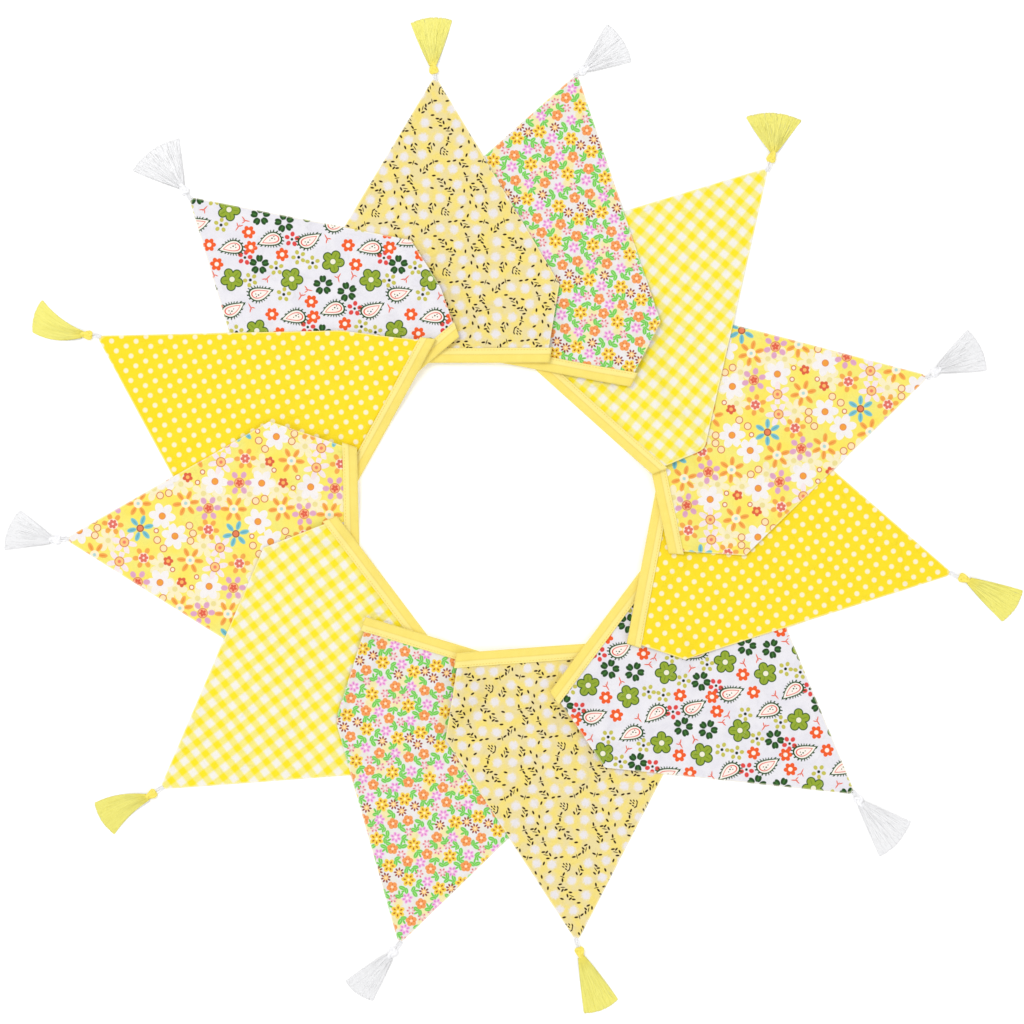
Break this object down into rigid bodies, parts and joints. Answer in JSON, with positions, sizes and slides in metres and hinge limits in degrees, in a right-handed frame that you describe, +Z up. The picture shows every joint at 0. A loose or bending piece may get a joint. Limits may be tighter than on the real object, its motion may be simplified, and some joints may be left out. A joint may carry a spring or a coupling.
{
  "type": "fabric bunting",
  "caption": "Printed cotton bunting with tassels on a yellow binding tape, laid flat in a ring with the pennants overlapping.",
  "frame": {"origin": "middle of the whole outline on the surface it lies on", "axes": "+Z up out of the surface, +Y towards the pennant at the top of the picture, +X to the picture's right"},
  "size_m": [0.8916, 0.8722, 0.0199],
  "materials": {
    "leaf_print": "matt printed cotton",
    "pink_floral": "matt printed cotton",
    "gingham": "matt woven check cotton",
    "daisy_print": "matt printed cotton",
    "dot_print": "matt printed cotton",
    "paisley_print": "matt printed cotton",
    "tape": "matt plain cotton",
    "tassel_yellow": "soft sheen thread",
    "tassel_white": "soft sheen thread"
  },
  "bodies": {
    "root": {"pennant_01": "leaf_print", "pennant_02": "pink_floral", "pennant_03": "gingham", "pennant_04": "daisy_print", "pennant_05": "dot_print", "pennant_06": "paisley_print", "pennant_07": "leaf_print", "pennant_08": "pink_floral", "pennant_09": "gingham", "pennant_10": "daisy_print", "pennant_11": "dot_print", "pennant_12": "paisley_print", "binding_tape": "tape", "tassel_01": "tassel_yellow", "tassel_02": "tassel_white", "tassel_03": "tassel_yellow", "tassel_04": "tassel_white", "tassel_05": "tassel_yellow", "tassel_06": "tassel_white", "tassel_07": "tassel_yellow", "tassel_08": "tassel_white", "tassel_09": "tassel_yellow", "tassel_10": "tassel_white", "tassel_11": "tassel_yellow", "tassel_12": "tassel_white"}
  },
  "joints": []
}
